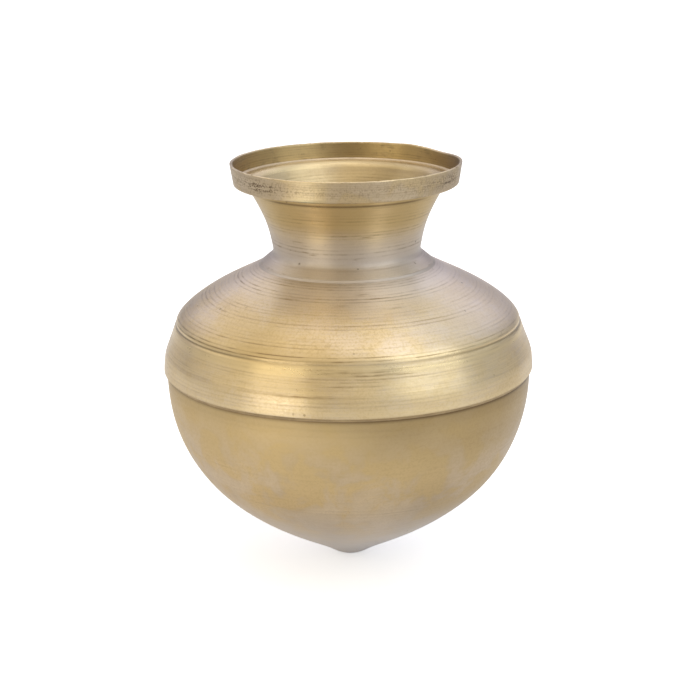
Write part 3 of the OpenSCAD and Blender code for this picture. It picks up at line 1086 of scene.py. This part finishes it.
def brass(name, context, kind):
    """Brass of one piece: tarnish clouds and tool lines shade it between two colours, rubbed places and
    painted highlights are brighter and smoother, painted shade and a painted floor reflection at the tip
    are laid over it, and grime and pits are darker, rougher and less metallic."""
    colours, look = context.scene.kalash_finish, LOOKS[kind]
    material, board, shader = blank(name)

    def tone(colour, share=1.0):
        return opaque(colour, look.tone * share)

    wide = board.group(clouds(), Scale=75.0, Detail=5.0)
    small = board.group(clouds(), Scale=420.0, Detail=4.0)
    film = board.group(clouds(), Scale=150.0, Detail=7.0)
    bold = board.group(tool_lines(), Turns=1.6, Per_mm=1.25, Detail=3.0)
    hair = board.group(tool_lines(), Turns=5.0, Per_mm=6.0, Detail=2.0)
    grit = board.group(tool_lines(), Turns=75.0, Per_mm=2.6, Detail=1.0)
    breaks = board.group(tool_lines(), Turns=7.0, Per_mm=1.7, Detail=2.0)
    pits = board.group(specks(), Scale=1100.0, Share=look.specks)
    cuts = board.group(scratches(), Share=look.scratches)
    grime, pale = board.painted("grime"), board.painted("pale")

    shade = board.varied(
        0.5, (wide, look.cloud), (small, 0.35 * look.cloud), (bold, look.line), (hair, look.hair),
        (grit, look.grit), clamp=True,
    )
    # Rubbed places and painted highlights together, broken up by the tool lines.
    patchy = board.rise(bold, 0.0, 0.8, 0.45, 1.0)
    rubbed = board.calc("MULTIPLY", board.painted("wear_and_highlight"), patchy, clamp=True)
    in_parts = board.rise(breaks, 0.25, 0.90, 0.22, 0.66)
    broken = board.calc("MULTIPLY", board.painted("groove"), in_parts, clamp=True)
    uneven = board.rise(board.varied(grime, (small, 0.5), (hair, 0.3)), 0.15, 0.95)
    dirty = board.calc("MULTIPLY", uneven, board.rise(grime, 0.0, 0.1))
    dirty = board.calc("MAXIMUM", dirty, board.calc("MULTIPLY", pits, 0.6), clamp=True)
    coarse = board.rise(board.calc("ADD", grit, hair), 1.05, 1.35)
    pitted = board.calc("MULTIPLY", coarse, board.painted("pitted"))
    dirty = board.calc("MAXIMUM", dirty, pitted, clamp=True)

    colour = board.blend(
        shade,
        tone(between(colours.satin, colours.patina, look.dull)),
        tone(between(colours.bright, colours.satin, look.dull)),
    )
    colour = board.layered(colour, (
        (board.rise(film, 0.40, 0.80, 0.0, look.film), tone(colours.gold)),
        (board.rise(film, 0.55, 0.15, 0.0, 0.33 * look.film), tone(colours.pale)),
        (board.rise(grit, 0.40, 0.85, 0.0, 0.26 * look.grit), tone(colours.soil_and_shade)),
        (rubbed, opaque(colours.bright)),
        (board.calc("MULTIPLY", cuts, 0.35), tone(colours.bright)),
        (board.painted("gold"), tone(colours.gold)),
        (pale, tone(colours.pale)),
        (board.painted("tip_reflection"), opaque(colours.tip_reflection)),
        (broken, tone(colours.soil_and_shade)),
        # Painted shade: soil colour at six tenths, laid in the crease, under the skirt's edge, under the
        # collar, near the neck's foot, on the dome's left front, on one side of the neck's and collar's
        # insides and on the bowl's upper and right parts; on the bowl it also carries a brown stain.
        (board.painted("shade_and_stain"), tone(colours.soil_and_shade, 0.6)),
        (board.painted("green"), tone(colours.verdigris)),
        (dirty, opaque(colours.grime)),
    ))
    rough = board.varied(look.rough, (wide, 0.10), (hair, 0.06), (grit, 0.10))
    height = board.summed(
        0.0, (bold, 0.6), (hair, 0.30), (small, 0.35), (grit, 0.65), (pits, -2.0), (cuts, -0.5)
    )
    bump = board.add(
        "ShaderNodeBump", {"Strength": 1.0, "Distance": BUMP_HEIGHT * look.relief, "Height": height}
    )
    tangent = board.add("ShaderNodeTangent", direction_type="RADIAL", axis="Z")
    board.feed(shader, {
        "Base Color": colour,
        "Roughness": board.summed(rough, (rubbed, -0.06), (pale, 0.12), (dirty, 0.30), clamp=True),
        "Metallic": board.summed(1.0, (dirty, -0.55)),
        "Normal": bump.outputs[0],
        "Tangent": tangent.outputs[0],
        "Anisotropic": look.stretch,
        "Anisotropic Rotation": ACROSS_LINES,
    })
    return material


def braze_metal(context):
    """Braze: a dull yellow-brown metal with oxide in its hollows."""
    colours = context.scene.kalash_finish
    material, board, shader = blank("Braze")
    cloud = board.group(clouds(), Scale=700.0)
    uneven = board.varied(board.painted("grime"), (cloud, 0.15), clamp=True)
    colour = board.blend(
        uneven,
        opaque(between(colours.satin, colours.gold, 0.5)),
        opaque(between(colours.soil_and_shade, colours.grime, 0.4)),
    )
    bump = board.add(
        "ShaderNodeBump", {"Strength": 1.0, "Distance": 1.5 * BUMP_HEIGHT, "Height": cloud}
    )
    board.feed(shader, {
        "Base Color": board.blend(board.painted("pale"), colour, opaque(colours.pale, 0.64)),
        "Roughness": board.summed(0.42, (uneven, 0.3)),
        "Metallic": board.summed(1.0, (uneven, -0.5)),
        "Normal": bump.outputs[0],
    })
    return material


# ---------------------------------------------------------------- stage


def aim(thing, place, target):
    """Puts an object at a place, with its -Z axis towards a target and its X axis level."""
    back = (Vector(place) - Vector(target)).normalized()
    thing.matrix_world = Matrix.Translation(place) @ back.to_track_quat("Z", "Y").to_matrix().to_4x4()


def softbox(name, azimuth, elevation, width, height, radiance, colour):
    """Area light of even radiance, hidden from the camera; azimuth goes from the front to the right."""
    a, e = math.radians(azimuth), math.radians(elevation)
    target = Vector((0, 0, LIGHT_AIM))
    away = Vector((math.sin(a) * math.cos(e), -math.cos(a) * math.cos(e), math.sin(e)))
    light = bpy.data.lights.new(name, "AREA")
    light.shape = "RECTANGLE"
    light.size, light.size_y = width, height
    light.energy = radiance * math.pi * width * height
    light.color = colour
    box = bpy.data.objects.new(name, light)
    bpy.context.scene.collection.objects.link(box)
    aim(box, target + LIGHT_DISTANCE * away, target)
    box.visible_camera = False


def studio_camera(scene, stage):
    """Camera that looks down at the pot's axis."""
    camera = bpy.data.objects.new("camera", bpy.data.cameras.new("camera"))
    scene.collection.objects.link(camera)
    back = Vector((0, -math.cos(stage.elevation), math.sin(stage.elevation)))
    target = Vector((0, 0, stage.look_z))
    aim(camera, target + stage.distance * back, target)
    camera.matrix_world = camera.matrix_world @ Matrix.Rotation(stage.roll, 4, "Z")
    camera.data.lens = stage.lens
    camera.data.shift_x = stage.shift
    camera.data.clip_start, camera.data.clip_end = 0.01, 20
    scene.camera = camera


def pale_floor(scene):
    """Square floor that glows a little towards the camera, so that it stays plain and pale."""
    corners = [(x * FLOOR_HALF, y * FLOOR_HALF, 0) for x, y in ((-1, -1), (1, -1), (1, 1), (-1, 1))]
    mesh = bpy.data.meshes.new("floor")
    mesh.from_pydata(corners, [], [(0, 1, 2, 3)])
    floor = bpy.data.objects.new("floor", mesh)
    scene.collection.objects.link(floor)
    material, board, shader = blank("Pale floor")
    seen = board.add("ShaderNodeLightPath").outputs["Is Camera Ray"]
    board.feed(shader, {
        "Base Color": board.blend(seen, (0.80, 0.80, 0.80, 1), (0.86, 0.86, 0.86, 1)),
        "Emission Strength": board.calc("MULTIPLY", seen, 0.5),
        "Emission Color": (1, 1, 1, 1),
        "Roughness": 0.9,
        "Specular IOR Level": 0.0,
    })
    mesh.materials.append(material)


def surroundings():
    """World: a plain wall for the camera's own rays, and for all others a soft room that is brighter
    above and beside the pot, dimmer behind it and on the right, and warm at the upper left."""
    world = bpy.data.worlds.new("surroundings")
    world.use_nodes = True
    board = Board(world.node_tree)
    seen = board.add("ShaderNodeLightPath").outputs["Is Camera Ray"]
    toward = board.add("ShaderNodeTexCoord").outputs["Generated"]
    x, y, z = board.add("ShaderNodeSeparateXYZ", {0: toward}).outputs
    low = board.rise(z, 0.05, 0.40, 1.0, 0.0)
    behind = board.calc("MULTIPLY", low, board.rise(y, -0.4, 0.8, 0.0, 0.50))
    far_side = board.rise(y, 0.5, 0.95)
    beside = board.calc("MAXIMUM", board.rise(board.calc("ABSOLUTE", x), 0.5, 0.9), far_side)
    beside = board.calc("MULTIPLY", board.calc("SUBTRACT", 1.0, low), beside)
    right = board.calc(
        "MULTIPLY", board.rise(low, 0.0, 1.0, 0.5, 1.0), board.rise(x, 0.2, 0.9, 0.0, 0.33)
    )
    strength = board.rise(z, 0.0, 0.75, 0.50, 1.15)
    for factor in (
        board.calc("SUBTRACT", 1.0, behind),
        board.rise(y, -0.8, -1.0, 1.0, 0.8),
        board.summed(1.0, (beside, 0.24)),
        board.calc("SUBTRACT", 1.0, right),
    ):
        strength = board.calc("MULTIPLY", strength, factor)
    upper_left = board.add(
        "ShaderNodeVectorMath", {0: toward, 1: (-0.44, -0.63, 0.64)}, operation="DOT_PRODUCT"
    ).outputs["Value"]
    tint_across = board.blend(board.rise(x, -0.7, 0.7), (1.0, 0.96, 0.92, 1), (0.86, 0.91, 1.0, 1))
    colour = board.layered(tint_across, (
        (board.rise(upper_left, 0.55, 0.95), (0.74, 0.66, 0.51, 1)),
        (board.rise(y, 0.3, 0.95), (1.0, 1.0, 1.22, 1)),
    ))
    room = board.add("ShaderNodeBackground", {"Color": colour, "Strength": strength})
    wall = board.add("ShaderNodeBackground", {"Color": (1, 1, 1, 1), "Strength": 1.05})
    shown = board.add("ShaderNodeMixShader", {0: seen, 1: room.outputs[0], 2: wall.outputs[0]})
    board.add("ShaderNodeOutputWorld", {0: shown.outputs[0]})
    return world


class KALASH_OT_stage(bpy.types.Operator):
    """Stage: camera, pale floor, even surroundings and softboxes"""

    bl_idname = "kalash.stage"
    bl_label = "Stage"

    def execute(self, context):
        scene = context.scene
        scene.view_settings.view_transform = "Standard"
        studio_camera(scene, scene.kalash_stage)
        pale_floor(scene)
        scene.world = surroundings()
        softbox("key", -43, 1, 0.45, 0.28, 2.35, (1.0, 0.94, 0.80))
        softbox("fill", 56, 31, 0.55, 0.60, 0.70, (0.98, 1.0, 0.96))
        softbox("top", 0, 82, 0.8, 0.6, 0.70, (1.0, 0.96, 0.95))
        return {"FINISHED"}


# ---------------------------------------------------------------- add-on


class KALASH_PT_panel(bpy.types.Panel):
    """Sidebar panel with the pot's pieces, sizes and colours"""

    bl_label = "Kalash"
    bl_idname = "KALASH_PT_panel"
    bl_space_type = "VIEW_3D"
    bl_region_type = "UI"
    bl_category = "Kalash"

    def draw(self, context):
        layout = self.layout
        for operator in OPERATORS:
            layout.operator(operator.bl_idname)
        for name in GROUPS:
            group = getattr(context.scene, name)
            box = layout.box()
            for key in type(group).__annotations__:
                box.prop(group, key)


GROUPS = {"kalash_sizes": KalashSizes, "kalash_finish": KalashFinish, "kalash_stage": KalashStage}
OPERATORS = (
    KALASH_OT_stage,
    KALASH_OT_bowl,
    KALASH_OT_shoulder,
    KALASH_OT_neck,
    KALASH_OT_rim_collar,
    KALASH_OT_brazes,
)


def register():
    """Registers the property groups, the operators and the panel."""
    for name, group in GROUPS.items():
        bpy.utils.register_class(group)
        setattr(bpy.types.Scene, name, PointerProperty(type=group))
    for operator in OPERATORS:
        bpy.utils.register_class(operator)
    bpy.utils.register_class(KALASH_PT_panel)


def unregister():
    """Takes all of them away again."""
    bpy.utils.unregister_class(KALASH_PT_panel)
    for operator in reversed(OPERATORS):
        bpy.utils.unregister_class(operator)
    for name, group in GROUPS.items():
        delattr(bpy.types.Scene, name)
        bpy.utils.unregister_class(group)


def main():
    """Builds the stage and every piece."""
    register()
    bpy.ops.kalash.stage()
    bpy.ops.kalash.bowl()
    bpy.ops.kalash.shoulder()
    bpy.ops.kalash.neck()
    bpy.ops.kalash.rim_collar()
    bpy.ops.kalash.brazes()


if __name__ == "__main__":
    main()
